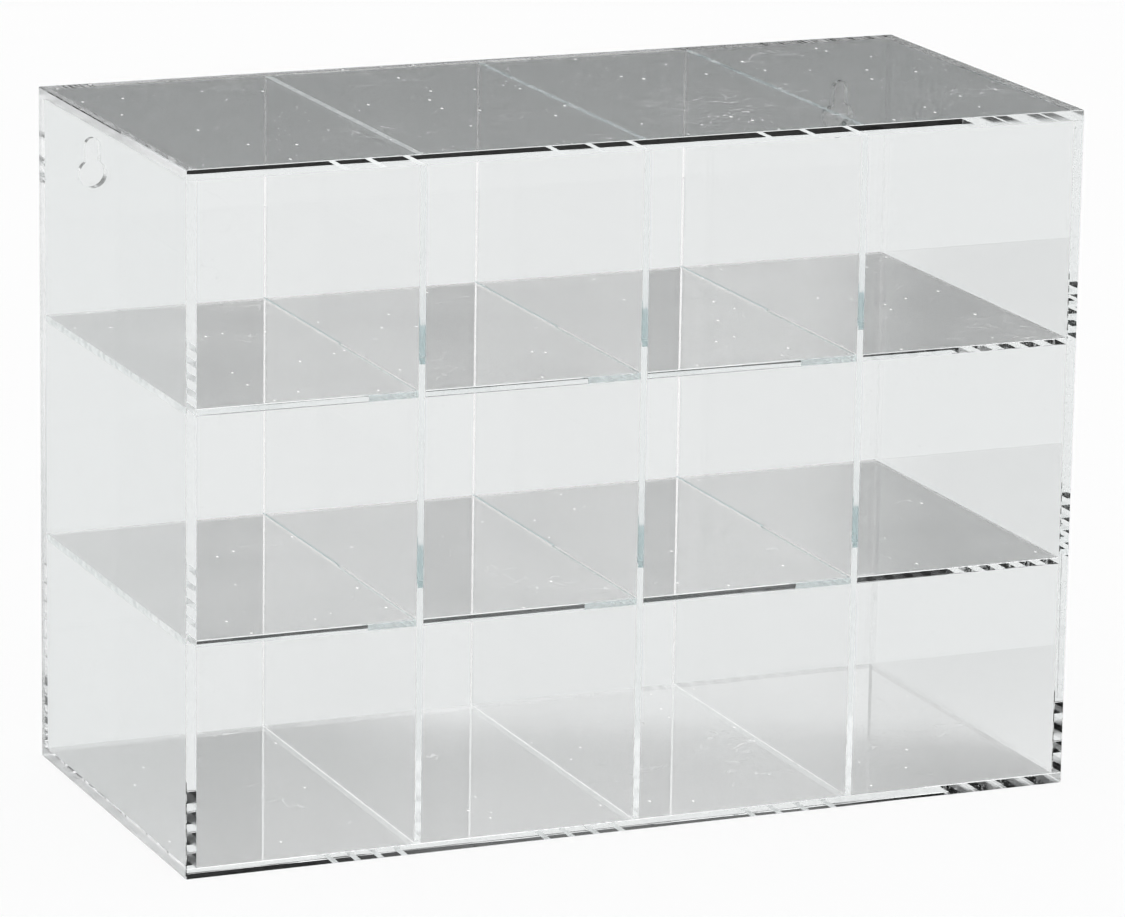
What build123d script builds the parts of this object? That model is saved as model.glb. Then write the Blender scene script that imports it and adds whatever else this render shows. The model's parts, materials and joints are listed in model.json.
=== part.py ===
from build123d import *
import os

# Safety glasses holder: an open-fronted case of clear sheet, cemented together, with pigeonholes
# made by upright dividers and level shelves that slot into each other. Millimetres. The origin is
# at the middle of the underside, X to the right, Y from the open front to the back, Z up.

# Driving sizes
WIDTH = 412.75
DEPTH = 193.7
HEIGHT = 304.8
OUTER_SHEET = 4.75
INNER_SHEET = 3.0

# The inner sheets, from left to right and from the bottom up
DIVIDER_NAMES = ("left_divider", "middle_divider", "right_divider")
SHELF_NAMES = ("lower_shelf", "upper_shelf")

# Crossed sheets: how much wider a slot is than the sheet in it, and how far its end stays off
SLOT_PLAY = 0.1
SLOT_END_PLAY = 0.1

# Small bevel that takes the sharpness off each cut edge that a hand can reach
ARRIS = 0.3

# Keyholes in the back: the screw head goes in through the round hole and hangs in the slot above
ENTRY_HOLE = 12.7
HANGING_SLOT = 7.0
HANGING_DROP = 12.7
KEYHOLE_FROM_SIDE = 27.0
KEYHOLE_FROM_TOP = 27.0

# Where the sheets meet
front = -DEPTH / 2
rear = DEPTH / 2
back_face = rear - OUTER_SHEET
floor_face = OUTER_SHEET
ceiling_face = HEIGHT - OUTER_SHEET
left_wall_face = -WIDTH / 2 + OUTER_SHEET
right_wall_face = WIDTH / 2 - OUTER_SHEET

# The room inside and the middle of it. Crossed sheets change from cut to whole at middle_depth
inner_width = right_wall_face - left_wall_face
inner_depth = back_face - front
inner_height = ceiling_face - floor_face
middle_depth = front + inner_depth / 2
middle_height = floor_face + inner_height / 2


def spaced(low, high, count):
    """Low faces of a number of inner sheets that share the room from low to high evenly."""
    opening = (high - low - count * INNER_SHEET) / (count + 1)
    return [low + opening + i * (opening + INNER_SHEET) for i in range(count)]


divider_faces = spaced(left_wall_face, right_wall_face, len(DIVIDER_NAMES))
shelf_faces = spaced(floor_face, ceiling_face, len(SHELF_NAMES))
slot_width = INNER_SHEET + SLOT_PLAY
slot_length = inner_depth / 2 + SLOT_END_PLAY / 2

# Keyhole places
entry_height = HEIGHT - KEYHOLE_FROM_TOP - HANGING_DROP
keyhole_middle_height = entry_height + HANGING_DROP / 2
keyhole_reach = WIDTH / 2 - KEYHOLE_FROM_SIDE


def outline_of(face):
    """The edges round a sheet's flat face, without those of its holes."""
    return face.outer_wire().edges()


def front_edge_of(face):
    """The edge of a level face that lies at the open front."""
    return face.edges().filter_by(Axis.X).sort_by(Axis.Y)[0]


def save(part, name):
    """Name a finished sheet and write it."""
    part.label = name
    export_step(part, f"parts/{name}.step")


os.makedirs("parts", exist_ok=True)

# The bottom and top cover the ends of the upright sheets, so they have the case's whole outline
with BuildPart() as bottom_panel:
    with BuildSketch(Plane.XY):
        Rectangle(WIDTH, DEPTH)
    extrude(amount=OUTER_SHEET)
    chamfer(bottom_panel.edges().filter_by(Axis.Z), ARRIS)
    chamfer(outline_of(bottom_panel.faces().sort_by(Axis.Z)[0]), ARRIS)
    chamfer(front_edge_of(bottom_panel.faces().sort_by(Axis.Z)[-1]), ARRIS)
save(bottom_panel.part, "bottom_panel")

with BuildPart() as top_panel:
    with BuildSketch(Plane.XY.offset(ceiling_face)):
        Rectangle(WIDTH, DEPTH)
    extrude(amount=OUTER_SHEET)
    chamfer(top_panel.edges().filter_by(Axis.Z), ARRIS)
    chamfer(outline_of(top_panel.faces().sort_by(Axis.Z)[-1]), ARRIS)
    chamfer(front_edge_of(top_panel.faces().sort_by(Axis.Z)[0]), ARRIS)
save(top_panel.part, "top_panel")

# Each side stands on the bottom, under the top, and ends at the back panel
side_starts = {"left_side": -WIDTH / 2, "right_side": right_wall_face}
for name, start in side_starts.items():
    with BuildPart() as side:
        with BuildSketch(Plane.YZ.offset(start)):
            with Locations((middle_depth, middle_height)):
                Rectangle(inner_depth, inner_height)
        extrude(amount=OUTER_SHEET)
        front_edges = side.edges().filter_by(Axis.Z).group_by(Axis.Y)[0]
        chamfer(front_edges, ARRIS)
    save(side.part, name)

# The back covers the rear ends of the sides and carries the two keyholes
with BuildPart() as back_panel:
    with BuildSketch(Plane.XZ.offset(-rear)):
        with Locations((0, middle_height)):
            Rectangle(WIDTH, inner_height)
        with Locations((-keyhole_reach, entry_height), (keyhole_reach, entry_height)):
            Circle(ENTRY_HOLE / 2, mode=Mode.SUBTRACT)
        with Locations(
            (-keyhole_reach, keyhole_middle_height), (keyhole_reach, keyhole_middle_height)
        ):
            SlotCenterToCenter(HANGING_DROP, HANGING_SLOT, rotation=90, mode=Mode.SUBTRACT)
    extrude(amount=OUTER_SHEET)
    rear_corners = outline_of(back_panel.faces().sort_by(Axis.Y)[-1]).filter_by(Axis.Z)
    chamfer(rear_corners, ARRIS)
save(back_panel.part, "back_panel")

# Dividers run from bottom to top. Their rear half is slotted, one slot for each shelf
for name, start in zip(DIVIDER_NAMES, divider_faces):
    with BuildPart() as divider:
        with BuildSketch(Plane.YZ.offset(start)):
            with Locations((middle_depth, middle_height)):
                Rectangle(inner_depth, inner_height)
            slot_middle = back_face - slot_length / 2
            with Locations([(slot_middle, z + INNER_SHEET / 2) for z in shelf_faces]):
                Rectangle(slot_length, slot_width, mode=Mode.SUBTRACT)
        extrude(amount=INNER_SHEET)
        front_edges = divider.edges().filter_by(Axis.Z).group_by(Axis.Y)[0]
        chamfer(front_edges, ARRIS)
    save(divider.part, name)

# Shelves run from side to side. Their front half is slotted, one slot for each divider
for name, start in zip(SHELF_NAMES, shelf_faces):
    with BuildPart() as shelf:
        with BuildSketch(Plane.XY.offset(start)):
            with Locations((0, middle_depth)):
                Rectangle(inner_width, inner_depth)
            slot_middle = front + slot_length / 2
            with Locations([(x + INNER_SHEET / 2, slot_middle) for x in divider_faces]):
                Rectangle(slot_width, slot_length, mode=Mode.SUBTRACT)
        extrude(amount=INNER_SHEET)
        front_edges = shelf.edges().filter_by(Axis.X).group_by(Axis.Y)[0]
        chamfer(front_edges, ARRIS)
    save(shelf.part, name)
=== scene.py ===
# %% [markdown]
# # A safety glasses holder in clear acrylic
#
# The object is an open-fronted case of clear cast acrylic sheet. Five thick sheets make the case,
# and three upright dividers and two shelves of thinner sheet slot into each other inside it, so
# that it has twelve pigeonholes, one for each folded pair of glasses. Two keyholes in the back
# take wall screws.
#
# Clear plastic has almost no colour of its own. What the eye reads is how light bends and
# reflects at each face, so this lesson models the ten sheets as real closed solids that touch
# where the real ones are cemented, and lets the renderer trace the light through them.

# %% Load the measured frame
import json
import math

import bmesh
import bpy
from mathutils import Matrix, Vector


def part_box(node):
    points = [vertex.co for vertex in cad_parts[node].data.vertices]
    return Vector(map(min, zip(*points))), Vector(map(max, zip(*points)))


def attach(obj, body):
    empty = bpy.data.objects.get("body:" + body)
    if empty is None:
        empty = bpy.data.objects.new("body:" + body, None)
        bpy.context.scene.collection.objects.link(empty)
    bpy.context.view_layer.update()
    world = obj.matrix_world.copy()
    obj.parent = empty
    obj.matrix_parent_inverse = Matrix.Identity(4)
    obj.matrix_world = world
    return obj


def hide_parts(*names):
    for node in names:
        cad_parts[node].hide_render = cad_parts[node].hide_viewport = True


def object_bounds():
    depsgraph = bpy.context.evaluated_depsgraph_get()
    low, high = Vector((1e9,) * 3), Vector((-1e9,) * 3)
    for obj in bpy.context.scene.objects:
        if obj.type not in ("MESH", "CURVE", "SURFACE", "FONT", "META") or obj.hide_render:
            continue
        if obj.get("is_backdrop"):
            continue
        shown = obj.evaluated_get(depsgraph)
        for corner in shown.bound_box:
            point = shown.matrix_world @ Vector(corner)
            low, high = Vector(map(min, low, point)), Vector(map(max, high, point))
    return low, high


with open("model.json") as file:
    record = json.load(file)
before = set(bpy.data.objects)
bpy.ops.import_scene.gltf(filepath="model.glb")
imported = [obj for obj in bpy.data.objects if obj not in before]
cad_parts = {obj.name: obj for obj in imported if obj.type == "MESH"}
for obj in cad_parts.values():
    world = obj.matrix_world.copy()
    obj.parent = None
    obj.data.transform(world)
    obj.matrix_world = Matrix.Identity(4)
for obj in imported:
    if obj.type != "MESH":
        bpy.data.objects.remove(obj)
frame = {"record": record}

MM = 0.001
cad_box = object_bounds()
print("case:", [round(side / MM, 2) for side in cad_box[1] - cad_box[0]], "mm")

# %% [markdown]
# ## The camera
#
# The camera comes first, because every later choice is judged through it. The photograph was
# taken from a few metres away with a long lens, from the front left and a little above. Its
# place, direction and focal length were worked out from the corners of the case in the picture,
# so they are simply stated here, and the turn is built up the way a tripod head does it: pan,
# then tilt, then a slight roll.

# %% The camera
PHOTO_WIDTH = 1125  # pixels
PHOTO_HEIGHT = 917
FOCAL_LENGTH = 6318  # pixels
SENSOR_WIDTH = 36  # mm
CAMERA_PLACE = Vector((-1.0518, -2.4942, 0.8195))
PAN, TILT, ROLL = math.radians(-22.94), math.radians(90 - 14.03), math.radians(0.87)

camera = bpy.data.objects.new("camera", bpy.data.cameras.new("camera"))
bpy.context.scene.collection.objects.link(camera)
bpy.context.scene.camera = camera
camera.data.sensor_width = SENSOR_WIDTH
camera.data.lens = FOCAL_LENGTH / PHOTO_WIDTH * SENSOR_WIDTH
camera.matrix_world = (
    Matrix.Translation(CAMERA_PLACE)
    @ Matrix.Rotation(PAN, 4, "Z")
    @ Matrix.Rotation(TILT, 4, "X")
    @ Matrix.Rotation(ROLL, 4, "Z")
)


def in_photo(point):
    """Where a point of the case lands in the photograph, in pixels from the upper left."""
    x, y, z = camera.matrix_world.inverted() @ Vector(point)
    return (
        round(PHOTO_WIDTH / 2 - FOCAL_LENGTH * x / z, 1),
        round(PHOTO_HEIGHT / 2 + FOCAL_LENGTH * y / z, 1),
    )


low, high = cad_box
print("near upper left corner:", in_photo((low.x, low.y, high.z)))
print("near lower right corner:", in_photo((high.x, low.y, low.z)))

# %% [markdown]
# ## Sawing the sheets
#
# Every piece of the real case starts as a rectangle that is sawn from a larger sheet, with its
# cut edges planed square. A cube primitive added at the size and place of its node in the frame
# does the same job here. Working from the frame's own boxes means that no size is typed twice and
# that neighbours touch exactly.
#
# The ten sheets are only five shapes. The two sides are alike, the three dividers are alike, the
# two shelves are alike, and the top is the bottom turned over. So five sheets are made in full
# first, and the other five are copied from them.
#
# The inner sheets end a hair short of the back panel. Their rear ends are not cemented, and the
# film of air that stays there is a mirror to light that meets it at a slant. That is what draws a
# crisp white line behind each divider.

# %% Sawing the sheets
PANELS = ("bottom_panel", "top_panel", "left_side", "right_side", "back_panel")
DIVIDERS = ("left_divider", "middle_divider", "right_divider")
SHELVES = ("lower_shelf", "upper_shelf")
AIR_FILM = 0.03 * MM


def put_down():
    """Leaves edit mode with nothing selected."""
    if bpy.context.mode != "OBJECT":
        bpy.ops.object.mode_set(mode="OBJECT")
    bpy.ops.object.select_all(action="DESELECT")


def pick_up(piece):
    """Selects one piece alone and makes it the active one."""
    put_down()
    piece.select_set(True)
    bpy.context.view_layer.objects.active = piece


def saw_block(name, low, high):
    """A square block between two corners, with its place in its mesh."""
    put_down()
    bpy.ops.mesh.primitive_cube_add(size=1, location=(low + high) / 2, scale=high - low)
    block = bpy.context.object
    block.name = block.data.name = name
    bpy.ops.object.transform_apply(location=True, rotation=True, scale=True)
    return block


sheets = {}
for node in ("bottom_panel", "left_side", "back_panel", "left_divider", "lower_shelf"):
    low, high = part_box(node)
    if node not in PANELS:
        high.y -= AIR_FILM
    sheets[node] = saw_block(node + "_sheet", low, high)
print("sheets sawn:", sorted(sheets))

# %% [markdown]
# ## Slots for the crossed sheets
#
# Dividers and shelves cross like the cardboard in a bottle crate: each divider has a slot in its
# rear half for each shelf, and each shelf has one in its front half for each divider. A saw cuts
# a slot slightly wider than the sheet, and that sliver of air matters, because light that runs
# inside a sheet turns back at it. A boolean with a sawblade-shaped block cuts each slot clean
# through and leaves the mesh closed, which deleting and bridging faces by hand would only copy.

# %% Slots for the crossed sheets
SLOT_PLAY = 0.05 * MM  # air on each side of a sheet in its slot, and past its end
OVERCUT = 2 * MM  # how far a cutter reaches out of the sheet
front = cad_box[0].y
middle_depth = (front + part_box("back_panel")[0].y) / 2


def cut_away(piece, cutter):
    """Takes the cutter's shape out of the piece and throws the cutter away."""
    pick_up(piece)
    cut = piece.modifiers.new("cut", "BOOLEAN")
    cut.operation = "DIFFERENCE"
    cut.solver = "EXACT"
    cut.object = cutter
    bpy.ops.object.modifier_apply(modifier=cut.name)
    bpy.data.objects.remove(cutter)


def crossing(divider, shelf):
    """The corners of the room that a divider and a shelf share at mid-depth, with play round it."""
    divider_low, divider_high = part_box(divider)
    shelf_low, shelf_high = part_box(shelf)
    low = Vector((divider_low.x, middle_depth, shelf_low.z))
    high = Vector((divider_high.x, middle_depth, shelf_high.z))
    play = Vector((SLOT_PLAY,) * 3)
    return low - play, high + play


for shelf in SHELVES:
    low, high = crossing("left_divider", shelf)
    low.x -= OVERCUT
    high.x += OVERCUT
    high.y = cad_box[1].y
    cut_away(sheets["left_divider"], saw_block("cutter", low, high))
for divider in DIVIDERS:
    low, high = crossing(divider, "lower_shelf")
    low.z -= OVERCUT
    high.z += OVERCUT
    low.y = front - OVERCUT
    cut_away(sheets["lower_shelf"], saw_block("cutter", low, high))
print("slots in a divider:", len(SHELVES), "and in a shelf:", len(DIVIDERS))

# %% [markdown]
# ## Keyholes in the back
#
# The screw head goes in through a round hole and its shank then slides up a narrow slot. On the
# real sheet a hole saw makes the first and a router bit the second, so two cutters do it here:
# a cylinder for the hole, and a cylinder plus a block for the round-ended slot. The hole's place
# and radius are read from the frame's mounts, where a screw is really going to fit.

# %% Keyholes in the back
HANGING_SLOT = 7 * MM
HANGING_DROP = 12.7 * MM
ROUND_STEPS = 96


def turn_plug(radius, centre, depth):
    """A round cutter that lies along Y."""
    put_down()
    bpy.ops.mesh.primitive_cylinder_add(
        vertices=ROUND_STEPS, radius=radius, depth=depth, location=centre, rotation=(math.pi / 2, 0, 0)
    )
    plug = bpy.context.object
    bpy.ops.object.transform_apply(location=True, rotation=True, scale=True)
    return plug


back_low, back_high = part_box("back_panel")
cutter_depth = back_high.y - back_low.y + 2 * OVERCUT
for mount in frame["record"]["mounts"]:
    if mount["kind"] != "bore":
        continue
    entry = Vector(mount["pos_m"])
    slot_end = entry + Vector((0, 0, HANGING_DROP))
    half_slot = Vector((HANGING_SLOT / 2, cutter_depth / 2, 0))
    cut_away(sheets["back_panel"], turn_plug(mount["dims"]["r_mm"] * MM, entry, cutter_depth))
    cut_away(sheets["back_panel"], turn_plug(HANGING_SLOT / 2, slot_end, cutter_depth))
    cut_away(sheets["back_panel"], saw_block("cutter", entry - half_slot, slot_end + half_slot))
    print(mount["name"], "at", [round(side / MM, 2) for side in entry], "mm")

# %% [markdown]
# ## Arrises
#
# A maker draws a scraper along each edge that a hand can reach and takes its sharpness off. The
# strip is only a third of a millimetre wide, but it catches the light as a bright line along the
# case's whole outline, so it is real geometry. The bevel operator is run on the edges that lie
# on the open front or on two outer faces of the case at once. Edges inside a joint stay square.
# One scrape leaves one flat strip, so one segment is right, and a rounder edge would lose the thin
# dark line that the lower strip of each front edge shows.

# %% Arrises
ARRIS = 0.3 * MM
ARRIS_STEPS = 1
NEAR = 0.01 * MM
STRAIGHT = 0.999  # the share of a direction that lies along an axis, when it counts as along it
LEVEL_SHEETS = ("bottom_panel", "top_panel") + SHELVES


def choose(piece, kind, wanted):
    """In edit mode, selects the edges or faces that wanted() says yes to, and no others."""
    bpy.ops.mesh.select_mode(type=kind)
    bpy.ops.mesh.select_all(action="DESELECT")
    shape = bmesh.from_edit_mesh(piece.data)
    chosen = [part for part in (shape.edges if kind == "EDGE" else shape.faces) if wanted(part)]
    for part in chosen:
        part.select_set(True)
    bmesh.update_edit_mesh(piece.data)
    return len(chosen)


def is_arris(edge, along):
    """Whether an edge runs along the open front, or is one of the case's own outer edges."""
    ends = [corner.co for corner in edge.verts]
    outer = 0
    for axis in range(3):
        for face in (cad_box[0][axis], cad_box[1][axis]):
            outer += all(abs(end[axis] - face) < NEAR for end in ends)
    on_front = all(abs(end.y - front) < NEAR for end in ends)
    runs_along = abs((ends[1] - ends[0]).normalized()[along]) > STRAIGHT
    return outer >= 2 or (on_front and runs_along)


for node, sheet in sheets.items():
    along = 0 if node in LEVEL_SHEETS else 2
    pick_up(sheet)
    bpy.ops.object.mode_set(mode="EDIT")
    bevelled = choose(sheet, "EDGE", lambda edge: is_arris(edge, along))
    bpy.ops.mesh.bevel(offset_type="OFFSET", offset=ARRIS, segments=ARRIS_STEPS, affect="EDGES")
    print(node, "arrises:", bevelled)

# %% [markdown]
# ## The other five sheets
#
# Each remaining sheet is a copy with a mesh of its own, because later each one gets the marks of
# its own joints. Four of them are only moved. The top is the bottom turned over about the case's
# middle, so that the arrises of its outer face look up and its front edge stays in front.

# %% The other five sheets


def copy_sheet(model, node, shift):
    """A copy of a finished sheet, moved to where another node is."""
    pick_up(sheets[model])
    bpy.ops.object.duplicate(linked=False)
    copy = bpy.context.object
    copy.name = copy.data.name = node + "_sheet"
    bpy.ops.transform.translate(value=shift)
    bpy.ops.object.transform_apply(location=True, rotation=False, scale=False)
    return copy


for model, node in (
    ("left_side", "right_side"),
    ("left_divider", "middle_divider"),
    ("left_divider", "right_divider"),
    ("lower_shelf", "upper_shelf"),
):
    sheets[node] = copy_sheet(model, node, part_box(node)[0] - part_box(model)[0])

sheets["top_panel"] = copy_sheet("bottom_panel", "top_panel", Vector((0, 0, 0)))
case_middle = (cad_box[0] + cad_box[1]) / 2
bpy.ops.transform.rotate(value=math.pi, orient_axis="Y", center_override=case_middle)
bpy.ops.object.transform_apply(location=True, rotation=True, scale=False)
print("sheets in all:", len(sheets))

# %% [markdown]
# ## Cemented joints
#
# Solvent cement melts the two faces of a joint into one, so light passes through it as if the
# sheets were a single piece. To give those contact faces a finish of their own, the wide faces
# are split along the outline of whatever stands on them. The bisect operator does that without
# moving anything: it runs once for each border of each neighbour, on the one face they share.

# %% Cemented joints
CEMENTED = [(panel, upright) for panel in ("bottom_panel", "top_panel")
            for upright in ("left_side", "right_side", "back_panel") + DIVIDERS]
CEMENTED += [("back_panel", side) for side in ("left_side", "right_side")]
CEMENTED += [(side, shelf) for side in ("left_side", "right_side") for shelf in SHELVES]


def contact(one, other):
    """The flat box in which two nodes touch, and the axis that it is thin along."""
    one_low, one_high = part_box(one)
    other_low, other_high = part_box(other)
    low = Vector(map(max, one_low, other_low))
    high = Vector(map(min, one_high, other_high))
    thin = min(range(3), key=lambda axis: high[axis] - low[axis])
    return low, high, thin


def mark_joint(piece, low, high, thin):
    """Splits the face of a piece that lies in a joint along the joint's outline."""
    pick_up(piece)
    bpy.ops.object.mode_set(mode="EDIT")
    for axis in range(3):
        if axis == thin:
            continue
        for border in (low[axis], high[axis]):
            def crosses(face):
                reach = [corner.co[axis] for corner in face.verts]
                flat = all(abs(corner.co[thin] - low[thin]) < NEAR for corner in face.verts)
                return flat and min(reach) < border - NEAR and max(reach) > border + NEAR
            if choose(piece, "FACE", crosses):
                plane_point, plane_normal = Vector(low), Vector((0, 0, 0))
                plane_point[axis], plane_normal[axis] = border, 1
                bpy.ops.mesh.bisect(plane_co=plane_point, plane_no=plane_normal)
    put_down()


neighbours = {node: [] for node in sheets}
for one, other in CEMENTED:
    for node in (one, other):
        mark_joint(sheets[node], *contact(one, other))
        neighbours[node].append(contact(one, other))
print("joints marked:", len(CEMENTED))

# %% [markdown]
# ## Tools for the materials
#
# A few small helpers serve every finish. One turns a colour as an artist writes it into the
# linear values that the renderer works with. One adds a node with its settings and links. One
# stretches the piece's own coordinates so that a pattern's size is written in millimetres.
#
# Clear plastic needs one more. Light from all round the studio really does shine through a sheet
# onto what stands behind it, but a path tracer hardly ever finds its way through a refracting
# solid to a soft light. So a ray that only asks how much light arrives is let straight through,
# a little weaker, while the rays that make the picture are bent and reflected in full.

# %% Tools for the materials


def colour(code):
    """An sRGB hex colour as the linear values that Blender's sockets take."""
    channels = [int(code[i : i + 2], 16) / 255 for i in (1, 3, 5)]
    linear = [c / 12.92 if c <= 0.04045 else ((c + 0.055) / 1.055) ** 2.4 for c in channels]
    return (*linear, 1.0)


def add_node(tree, kind, settings=(), **inputs):
    """Adds a node, sets its options, and fills or links its inputs by name or number."""
    node = tree.nodes.new(kind)
    for option, value in dict(settings).items():
        setattr(node, option, value)
    for name, value in inputs.items():
        socket = node.inputs[int(name[1:]) if name[1:].isdigit() else name.replace("_", " ")]
        if isinstance(value, bpy.types.NodeSocket):
            tree.links.new(value, socket)
        else:
            socket.default_value = value
    return node


def new_material(name):
    """A material with an empty node tree, and that tree."""
    material = bpy.data.materials.new(name)
    material.use_nodes = True
    material.node_tree.nodes.clear()
    return material, material.node_tree


def pattern_space(tree, x_mm, y_mm, z_mm):
    """The piece's own coordinates, measured in the given number of millimetres on each axis."""
    place = add_node(tree, "ShaderNodeTexCoord").outputs["Object"]
    stretch = [1 / (size * MM) for size in (x_mm, y_mm, z_mm)]
    return add_node(tree, "ShaderNodeMapping", Vector=place, Scale=stretch).outputs[0]


def fade(tree, value, start, end, at_start, at_end):
    """Turns a pattern's value into another, evenly between two limits and level outside them."""
    return add_node(tree, "ShaderNodeMapRange", Value=value, From_Min=start, From_Max=end,
                    To_Min=at_start, To_Max=at_end).outputs[0]


def combine(tree, operation, one, other):
    """The result of a Math node's operation on two values."""
    return add_node(tree, "ShaderNodeMath", {"operation": operation}, _0=one, _1=other).outputs[0]


def finish_clear(tree, shader, shade):
    """Joins a clear shader to the output and lets the studio's light straight through it."""
    ray = add_node(tree, "ShaderNodeLightPath").outputs
    passing = combine(tree, "MAXIMUM", ray["Is Shadow Ray"], ray["Is Diffuse Ray"])
    clear = add_node(tree, "ShaderNodeBsdfTransparent", Color=colour(shade))
    both = add_node(tree, "ShaderNodeMixShader", _0=passing, _1=shader, _2=clear.outputs[0])
    add_node(tree, "ShaderNodeOutputMaterial", Surface=both.outputs[0])


# %% [markdown]
# ## Cast acrylic faces
#
# Cast acrylic (PMMA) sheet is poured between plates of glass. Its faces come out optically
# smooth, so there is no roughness at all, only a very slow waviness that makes reflections bend a
# little. Its index of refraction is about 1.49. Here it is 1.52, and 1.55 for the thin sheets,
# because with those values the dark and bright dashes in the cut edges fall where the photograph
# has them, and they depend on it more than on anything else.
#
# What tells the eye that a clear face is there at all is what lies on it: dust, which settles most
# on level faces, a few scuffs from handling and the faint film of a wiped surface. These scatter
# white light, so they are mixed in as a matt white by a mask. A dust grain stands up from the
# sheet and shows at a glancing look, where a flat dot would vanish, so the dots are drawn about
# three times as wide as real grains, and longer from front to back than across.
#
# All this counts only where a ray comes from outside. Light that runs inside a sheet meets its
# faces dozens of times and would be lost in dirt that it hardly touches in reality, so from inside
# a face is the bare clear plastic. That also saves much of the work of rendering.

# %% Cast acrylic faces
THICK_IOR, THIN_IOR = 1.52, 1.55
SWELL, SWELL_DEPTH = 35, 0.02  # mm from one slow wave of a face to the next, and their height
LARGE_GRAINS, SMALL_GRAINS = 10, 4.5  # mm from one grain of dust to the next
GRAIN_STRETCH = 1.8  # how much longer a grain is from front to back
SCUFF_BENDS = (16, 9, 16)  # mm over which a scuff turns
HANDLED_PLACES = 55  # mm from one much handled place to the next
UPRIGHT_DUST, UPRIGHT_FILM = 0.08, 0.2  # what stays on an upright face, against 1 on a level one


def acrylic(tree, tint, ior, roughness, **more):
    """The bare clear plastic."""
    return add_node(tree, "ShaderNodeBsdfPrincipled", Base_Color=colour(tint), Roughness=roughness,
                    IOR=ior, Transmission_Weight=1.0, **more).outputs[0]


def outside_inside(tree, outer, inner):
    """One shader for rays that come from outside and another for light inside the sheet."""
    side = add_node(tree, "ShaderNodeNewGeometry").outputs["Backfacing"]
    return add_node(tree, "ShaderNodeMixShader", _0=side, _1=outer, _2=inner).outputs[0]


def mix_white(tree, amount, shader, code):
    """Hides a clear shader behind a matt one by an amount from 0 to 1."""
    matt = add_node(tree, "ShaderNodeBsdfDiffuse", Color=colour(code))
    return add_node(tree, "ShaderNodeMixShader", _0=amount, _1=shader, _2=matt.outputs[0]).outputs[0]


def grains(tree, cell_mm, reach, strength):
    """Dust grains, one to a cell, each as wide as a share of its cell."""
    space = pattern_space(tree, cell_mm, cell_mm * GRAIN_STRETCH, cell_mm)
    cells = add_node(tree, "ShaderNodeTexVoronoi", Vector=space, Scale=1.0)
    return fade(tree, cells.outputs["Distance"], reach * 0.6, reach, strength, 0.0)


def dust_and_scuffs(tree, film):
    """How much of a face is hidden by dust grains, scuffs and wiping film, from 0 to 1."""
    normal = add_node(tree, "ShaderNodeNewGeometry").outputs["Normal"]
    up = add_node(tree, "ShaderNodeSeparateXYZ", Vector=normal).outputs["Z"]
    large = grains(tree, LARGE_GRAINS, 0.08, 1.0)
    small = grains(tree, SMALL_GRAINS, 0.11, 0.55)
    space = pattern_space(tree, *SCUFF_BENDS)
    bends = add_node(tree, "ShaderNodeTexNoise", Vector=space, Scale=1.0, Detail=1.0).outputs["Fac"]
    from_line = combine(tree, "ABSOLUTE", combine(tree, "SUBTRACT", bends, 0.5), 0)
    line = fade(tree, from_line, 0.003, 0.008, 0.5, 0.0)
    space = pattern_space(tree, HANDLED_PLACES, HANDLED_PLACES, HANDLED_PLACES)
    handled = add_node(tree, "ShaderNodeTexNoise", Vector=space, Scale=1.0).outputs["Fac"]
    scuffs = combine(tree, "MULTIPLY", line, fade(tree, handled, 0.54, 0.66, 0.0, 1.0))
    lying = combine(tree, "MAXIMUM", combine(tree, "MAXIMUM", large, small), scuffs)
    lying = combine(tree, "MULTIPLY", lying, fade(tree, up, 0, 1, UPRIGHT_DUST, 1.0))
    wiped = fade(tree, handled, 0.35, 0.7, film * 0.6, film * 1.4)
    wiped = combine(tree, "MULTIPLY", wiped, fade(tree, up, 0, 1, UPRIGHT_FILM, 1.0))
    return combine(tree, "MAXIMUM", lying, wiped)


def cast_acrylic_face(name, tint, ior, film, shade):
    """A wide face of a sheet: wavy by a hair, with dust, scuffs and film on its outside."""
    material, tree = new_material(name)
    space = pattern_space(tree, SWELL, SWELL, SWELL)
    swell = add_node(tree, "ShaderNodeTexNoise", Vector=space, Scale=1.0, Detail=0.0).outputs["Fac"]
    wavy = add_node(tree, "ShaderNodeBump", Strength=1.0, Distance=SWELL_DEPTH * MM, Height=swell)
    outer = acrylic(tree, tint, ior, 0.0, Normal=wavy.outputs[0])
    outer = mix_white(tree, dust_and_scuffs(tree, film), outer, "#FAFAFA")
    finish_clear(tree, outside_inside(tree, outer, acrylic(tree, tint, ior, 0.0)), shade)
    return material


# %% [markdown]
# ## Cut edges
#
# A cut edge is planed along its length and then polished, and it keeps faint lines that run the
# way the tool went. They are far too shallow to see as relief, but an edge is the window through
# which one looks down the whole inside of a sheet, and each line shifts that view a little. So
# the dark and bright dashes get their ragged outlines and fine light streaks from them.
#
# The ends that were only scraped, at the left and right of the case, are a little rough as well,
# so that they look frosted grey and streaky. The walls of the sawn slots are rougher still. From
# outside they are white with chips, and from inside the sheet they show the blue green of a long
# way through acrylic, hatched by the saw's teeth. The tool lines are about half a millimetre
# apart and the tooth marks a little over one, which is as fine as a render shows.

# %% Cut edges
TOOL_LINE = 0.5  # mm from one tool line to the next
LINE_LENGTH = 40  # mm that a tool line goes on for
TOOTH_MARK = 1.2  # mm from one mark of the saw to the next
ALONG_X = (LINE_LENGTH, TOOL_LINE, TOOL_LINE)
ALONG_Y = (TOOL_LINE, LINE_LENGTH, TOOL_LINE)
ALONG_Z = (TOOL_LINE, TOOL_LINE, LINE_LENGTH)


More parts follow.
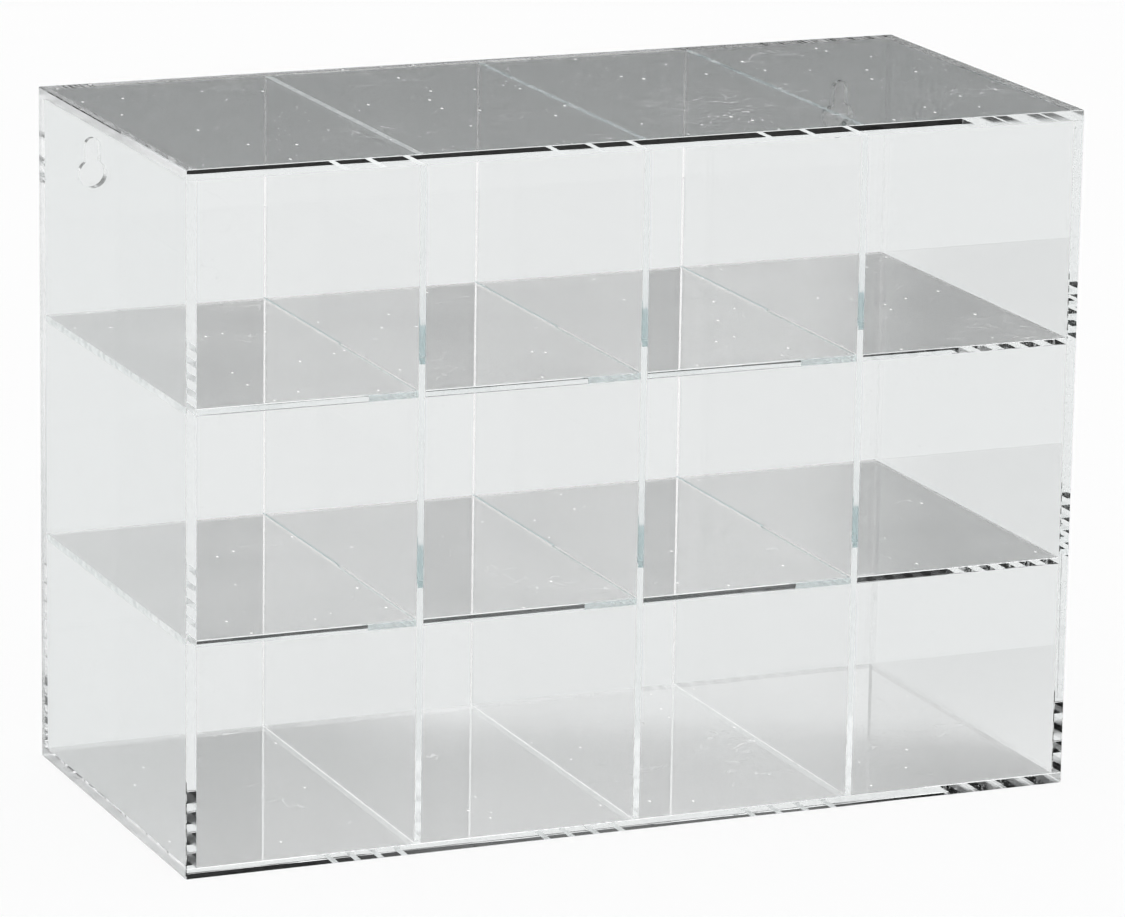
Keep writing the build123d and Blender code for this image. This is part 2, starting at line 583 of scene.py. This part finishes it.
def cut_edge(name, ior, tool_way, depth_mm, roughness):
    """A planed edge with tool lines of a given direction and depth."""
    material, tree = new_material(name)
    space = pattern_space(tree, *tool_way)
    lines = add_node(tree, "ShaderNodeTexNoise", Vector=space, Scale=1.0, Detail=1.0).outputs["Fac"]
    marks = add_node(tree, "ShaderNodeBump", Strength=1.0, Distance=depth_mm * MM, Height=lines)
    outer = acrylic(tree, "#F8FAFA", ior, roughness, Normal=marks.outputs[0])
    inner = acrylic(tree, "#FCFDFD", ior, roughness)
    finish_clear(tree, outside_inside(tree, outer, inner), "#FAFAFA")
    return material


def sawn_slot_wall(name, inner_colour, inner_haze):
    """A rough sawn wall: chipped white from outside, and a hatched colour from inside."""
    material, tree = new_material(name)
    space = pattern_space(tree, TOOTH_MARK, TOOTH_MARK * 2, TOOTH_MARK)
    teeth = add_node(tree, "ShaderNodeTexNoise", Vector=space, Scale=1.0).outputs["Fac"]
    chips = fade(tree, teeth, 0.35, 0.6, 0.7, 0.98)
    hatch = fade(tree, teeth, 0.4, 0.6, inner_haze * 0.5, inner_haze)
    outer = mix_white(tree, chips, acrylic(tree, "#FAFDFD", THIN_IOR, 0.4), "#FFFFFF")
    inner = mix_white(tree, hatch, acrylic(tree, "#E6F6F4", THIN_IOR, 0.3), inner_colour)
    finish_clear(tree, outside_inside(tree, outer, inner), "#F2F2F2")
    return material


# %% [markdown]
# ## Cemented joints
#
# Where solvent cement has done its work there is no face left, so a joint is a plain transparent
# shader that bends nothing. It is never perfect: the cement runs in from the side by itself and
# leaves faint streaks and tiny bubbles. The panels' joints are nearly clear, with more bubbles
# where the right side meets the back and the shelves. Most ends of the thin sheets were less well
# planed, and their joints are milky lines. The right ends of the shelves came out clear.

# %% Cemented joints, their finish
CEMENT_STREAK = 4  # mm from one streak of cement to the next
BUBBLE_CELL = 1.6  # mm from one bubble to the next, coarser than real ones, to show in the render


def cemented_joint(name, haze, bubbled):
    """A joint that is milky by one amount, and by another where there are bubbles."""
    material, tree = new_material(name)
    space = pattern_space(tree, CEMENT_STREAK, CEMENT_STREAK, CEMENT_STREAK)
    streaks = add_node(tree, "ShaderNodeTexNoise", Vector=space, Scale=1.0, Detail=1.0).outputs["Fac"]
    milky = fade(tree, streaks, 0.35, 0.65, haze * 0.85, haze * 1.1)
    space = pattern_space(tree, BUBBLE_CELL, BUBBLE_CELL, BUBBLE_CELL)
    bubbles = add_node(tree, "ShaderNodeTexVoronoi", Vector=space, Scale=1.0).outputs["Distance"]
    dots = fade(tree, bubbles, 0.2, 0.3, bubbled, 0.0)
    clear = add_node(tree, "ShaderNodeBsdfTransparent", Color=(1, 1, 1, 1))
    joint = mix_white(tree, combine(tree, "MAXIMUM", milky, dots), clear.outputs[0], "#F8FAFA")
    finish_clear(tree, joint, "#FFFFFF")
    return material


# %% [markdown]
# ## Giving each face its finish
#
# Every face of a sheet is told apart by where it lies: inside a joint, on one of the two wide
# faces, in a slot, at a scraped end, or on a polished edge. The finish of a polished edge also
# depends on which way the edge runs. Level edges took deeper tool lines than upright ones.

# %% Giving each face its finish
LEVEL_LINES, UPRIGHT_LINES = 0.0015, 0.0004  # mm deep
SCRAPED_LINES, SCRAPED_ROUGHNESS = 0.03, 0.15

THICK_FACE = cast_acrylic_face("cast_acrylic_face", "#FAFBFB", THICK_IOR, 0.008, "#FEFEFE")
THIN_FACE = cast_acrylic_face("thin_cast_acrylic_face", "#FDFDFD", THIN_IOR, 0.085, "#FFFFFF")
LEVEL_EDGE = cut_edge("polished_acrylic_level_edge", THICK_IOR, ALONG_X, LEVEL_LINES, 0.0)
THIN_LEVEL_EDGE = cut_edge("polished_thin_acrylic_level_edge", THIN_IOR, ALONG_X, LEVEL_LINES, 0.0)
UPRIGHT_EDGE = cut_edge("polished_acrylic_upright_edge", THICK_IOR, ALONG_Z, UPRIGHT_LINES, 0.0)
THIN_UPRIGHT_EDGE = cut_edge("polished_thin_acrylic_upright_edge", THIN_IOR, ALONG_Z, UPRIGHT_LINES, 0.0)
SCRAPED_END = cut_edge("scraped_acrylic_end", THICK_IOR, ALONG_Y, SCRAPED_LINES, SCRAPED_ROUGHNESS)
DIVIDER_SLOT = sawn_slot_wall("sawn_divider_slot_wall", "#B4C8CA", 0.85)
SHELF_SLOT = sawn_slot_wall("sawn_shelf_slot_wall", "#EFFAFA", 0.7)
CLEAR_JOINT = cemented_joint("solvent_cemented_joint", 0.004, 0.06)
BUBBLED_JOINT = cemented_joint("bubbled_solvent_cemented_joint", 0.02, 0.7)
HAZY_JOINT = cemented_joint("hazy_solvent_cemented_joint", 0.8, 0.95)
FINISHES = (
    THICK_FACE, THIN_FACE, LEVEL_EDGE, THIN_LEVEL_EDGE, UPRIGHT_EDGE, THIN_UPRIGHT_EDGE,
    SCRAPED_END, DIVIDER_SLOT, SHELF_SLOT, CLEAR_JOINT, BUBBLED_JOINT, HAZY_JOINT,
)


def in_joint(centre, joints):
    """Whether a face's centre lies in one of the flat boxes where its sheet is cemented."""
    for low, high, thin in joints:
        inside = [low[axis] - NEAR <= centre[axis] <= high[axis] + NEAR for axis in range(3)]
        if all(inside):
            return True
    return False


def finish_of(node, polygon):
    """The finish that one face of one sheet gets."""
    low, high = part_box(node)
    thin = min(range(3), key=lambda axis: high[axis] - low[axis])
    centre = polygon.center
    if in_joint(centre, neighbours[node]):
        if node in PANELS:
            upright_joint = node == "right_side" and abs(polygon.normal.z) < STRAIGHT
            return BUBBLED_JOINT if upright_joint else CLEAR_JOINT
        return CLEAR_JOINT if node in SHELVES and centre.x > 0 else HAZY_JOINT
    if abs(polygon.normal[thin]) > STRAIGHT:
        return THICK_FACE if node in PANELS else THIN_FACE
    within = [low[axis] + ARRIS < centre[axis] < high[axis] - ARRIS for axis in range(3)]
    if node not in PANELS and all(within):
        return DIVIDER_SLOT if node in DIVIDERS else SHELF_SLOT
    if abs(abs(centre.x) - cad_box[1].x) < NEAR:
        return SCRAPED_END
    if node in LEVEL_SHEETS:
        return THIN_LEVEL_EDGE if node in SHELVES else LEVEL_EDGE
    return THIN_UPRIGHT_EDGE if node in DIVIDERS else UPRIGHT_EDGE


for node, sheet in sheets.items():
    finishes = [finish_of(node, polygon) for polygon in sheet.data.polygons]
    used = sorted(set(finishes), key=FINISHES.index)
    for finish in used:
        sheet.data.materials.append(finish)
    for polygon, finish in zip(sheet.data.polygons, finishes):
        polygon.material_index = used.index(finish)
    print(node, {finish.name: finishes.count(finish) for finish in used})

# %% [markdown]
# ## Joining the sheets to the frame
#
# The case is cemented into one rigid body. Each sheet rides on it, and the frame's node that it
# stands for is hidden.

# %% Joining the sheets to the frame
for node, sheet in sheets.items():
    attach(sheet, "root")
    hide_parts(node)

# %% [markdown]
# ## The floor
#
# The case stands on a wide sheet of matt white paper. Two flat things never touch all over, and
# the film of air under the bottom panel matters: without it, light inside the panel would leak
# out into the paper, and the front edge would lose its dark line.
#
# The lamps stand in front, so the paper falls off a little behind the case. The photograph's
# background was cut out and made pure white afterwards, but what is seen through the plastic
# still shows the greyer paper. So the camera sees white paper directly, and every other ray sees
# painted shade: the paper's colour fades from white in front to light grey behind, standing in
# for the lamps' falloff, and that is what the plastic bends and mirrors.

# %% The floor
FLOOR_REACH = 24  # metres, like the two fade limits
FLOOR_DROP = 0.2 * MM  # the film of air under the case
# Where the painted shade behind the case begins and where it is full.
FADE_STARTS, FADE_ENDS = -0.3, 0.1  # from front to back, along Y

put_down()
bpy.ops.mesh.primitive_plane_add(size=FLOOR_REACH, location=(0, 0, -FLOOR_DROP))
floor = bpy.context.object
floor.name = "floor"
floor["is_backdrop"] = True
paper, tree = new_material("white_paper_with_painted_shade")
# Painted shade: the paper's colour turns from white to light grey towards the back, in place of the
# falloff of the lamps' light behind the case. Only rays other than the camera's see it.
place = add_node(tree, "ShaderNodeTexCoord").outputs["Object"]
back_of_floor = add_node(tree, "ShaderNodeSeparateXYZ", Vector=place).outputs["Y"]
away = fade(tree, back_of_floor, FADE_STARTS, FADE_ENDS, 0.0, 1.0)
white = add_node(tree, "ShaderNodeBsdfDiffuse", Color=colour("#FAFAFA"))
grey = add_node(tree, "ShaderNodeBsdfDiffuse", Color=colour("#EAEBEB"))
paper_with_painted_shade = add_node(tree, "ShaderNodeMixShader", _0=away, _1=white.outputs[0], _2=grey.outputs[0])
seen = add_node(tree, "ShaderNodeLightPath").outputs["Is Camera Ray"]
matt = add_node(tree, "ShaderNodeMixShader", _0=seen, _1=paper_with_painted_shade.outputs[0], _2=white.outputs[0])
add_node(tree, "ShaderNodeOutputMaterial", Surface=matt.outputs[0])
floor.data.materials.append(paper)

# %% [markdown]
# ## The studio
#
# The light is as soft as it gets: the whole studio glows, brightest overhead. Clear plastic in an
# all-white room would be invisible, so between the white sweep behind the floor and the lit
# ceiling there is a dark strip, where the room behind the sweep stays unlit. Level sheets mirror
# it and turn grey, and wherever light leaves an edge upwards it leaves into the dark.
#
# The strip isn't even. On the side that the camera looks towards, the room behind it is a little
# lighter, a gap shows above the sweep, and one lamp spills into the strip. These give the shelves
# their tone and put a soft border on the floor. In front, to the right, a tall softbox fills the
# strip and lights the thin mirrors behind the dividers. Each is a brightness by height, in
# degrees above the horizon, times a brightness by direction. The renderer could aim rays at the
# brightest parts of the world, but light this soft is found as well without, and sooner.

# %% The studio
BRIGHTEST = 1.3
SWEEP = ((0, 0.97), (7, 0.97), (8.5, 0.003), (17.8, 0.003))
CEILING = ((19, 0.1), (22, 0.5), (28, 1.0), (45, 1.15), (60, BRIGHTEST))
LIFT = ((11.6, 0), (12.2, 0.1), (13.6, 0.1), (14.2, 0.12), (15.6, 0.12), (15.8, 0))
SCREEN = ((11.6, 0), (12.0, 0.95), (15.5, 0.95), (16.2, 0.55), (18, 0.55), (18.5, 0))
SCREEN_END = ((11.6, 0), (12.0, 0.4), (15.5, 0.4), (16.2, 0))
GAP = ((15.7, 0), (15.85, 0.85), (16.3, 0.85), (16.65, 0))
SPILL = ((16.3, 0), (16.65, 0.16), (17.8, 0.16), (18.2, 0))
SOFTBOX = ((7.5, 0), (8.5, 1.1), (17.8, 1.1), (19, 0))
IN_THE_STRIP = (  # each with its first and last direction, in degrees from +Y towards +X
    (LIFT, 14, 25.6),
    (GAP, 21, 32),
    (SPILL, 21.3, 25.9),
    (SOFTBOX, 149, 166),
    (SCREEN, -25.8, -19.5),
    (SCREEN_END, -26, -23.6),
)
SOFT_BORDER = 1.2  # degrees

world = bpy.data.worlds.new("studio")
bpy.context.scene.world = world
world.cycles.sampling_method = "NONE"
world.use_nodes = True
tree = world.node_tree
tree.nodes.clear()
looking = add_node(tree, "ShaderNodeTexCoord")
split = add_node(tree, "ShaderNodeSeparateXYZ", Vector=looking.outputs["Generated"])
turn = combine(tree, "ARCTAN2", split.outputs["X"], split.outputs["Y"])


def by_height(stops):
    """Brightness by height above the horizon, in degrees."""
    ramp = add_node(tree, "ShaderNodeValToRGB", Fac=split.outputs["Z"])
    while len(ramp.color_ramp.elements) < len(stops):
        ramp.color_ramp.elements.new(1.0)
    for stop, (degrees, brightness) in zip(ramp.color_ramp.elements, stops):
        stop.position = math.sin(math.radians(degrees))
        stop.color = (brightness / BRIGHTEST,) * 3 + (1,)
    return combine(tree, "MULTIPLY", ramp.outputs["Color"], BRIGHTEST)


def by_turn(start, end):
    """1 between two directions and 0 beyond them, with soft borders."""
    middle, half = math.radians((start + end) / 2), math.radians((end - start) / 2)
    soft = math.radians(SOFT_BORDER) / 2
    off = combine(tree, "ABSOLUTE", combine(tree, "SUBTRACT", turn, middle), 0)
    return fade(tree, off, half - soft, half + soft, 1.0, 0.0)


light = by_height(SWEEP + CEILING)
for stops, start, end in IN_THE_STRIP:
    part = combine(tree, "MULTIPLY", by_height(stops), by_turn(start, end))
    light = combine(tree, "ADD", light, part)
sky = add_node(tree, "ShaderNodeBackground", Color=(1, 1, 1, 1), Strength=light)
add_node(tree, "ShaderNodeOutputWorld", Surface=sky.outputs[0])

# %% [markdown]
# ## How far the light is followed
#
# Light that enters a cut edge runs the whole depth of the sheet and turns back at its faces
# dozens of times on the way. Each turn counts as a bounce, and where the renderer gives up the
# edge goes black, so the limits are high. Caustics stay off: the soft light has none to show.

# %% How far the light is followed
FAR = 96
NEARBY = 3

scene = bpy.context.scene
scene.view_settings.view_transform = "Standard"
scene.cycles.max_bounces = FAR
scene.cycles.transmission_bounces = FAR
scene.cycles.glossy_bounces = FAR
scene.cycles.diffuse_bounces = NEARBY
scene.cycles.transparent_max_bounces = FAR
scene.cycles.caustics_reflective = False
scene.cycles.caustics_refractive = False

# %% [markdown]
# ## The print's contrast
#
# The photograph was developed with firm contrast: its darkest lines are close to black although a
# front face always mirrors a little of the white floor. A curve over the picture's brightness does
# the same here. It leaves the light tones alone.

# %% The print's contrast
CONTRAST = ((0.0, 0.0), (0.05, 0.012), (0.36, 0.305), (0.6, 0.57), (0.8, 0.79), (1.0, 1.0))

scene.view_settings.use_curve_mapping = True
curve = scene.view_settings.curve_mapping.curves[3]  # the one over all three colours
for place, (before, after) in enumerate(CONTRAST):
    if 0 < place < len(CONTRAST) - 1:
        curve.points.new(before, after)
scene.view_settings.curve_mapping.update()
print("contrast curve:", [[round(side, 3) for side in point.location] for point in curve.points])

# %% [markdown]
# ## Measuring the finished case
#
# The visual model has to be exactly as large as the measured one, so both boxes are written down
# side by side.

# %% Measuring the finished case
low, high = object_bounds()
print("finished case:", [round(side / MM, 2) for side in high - low], "mm")
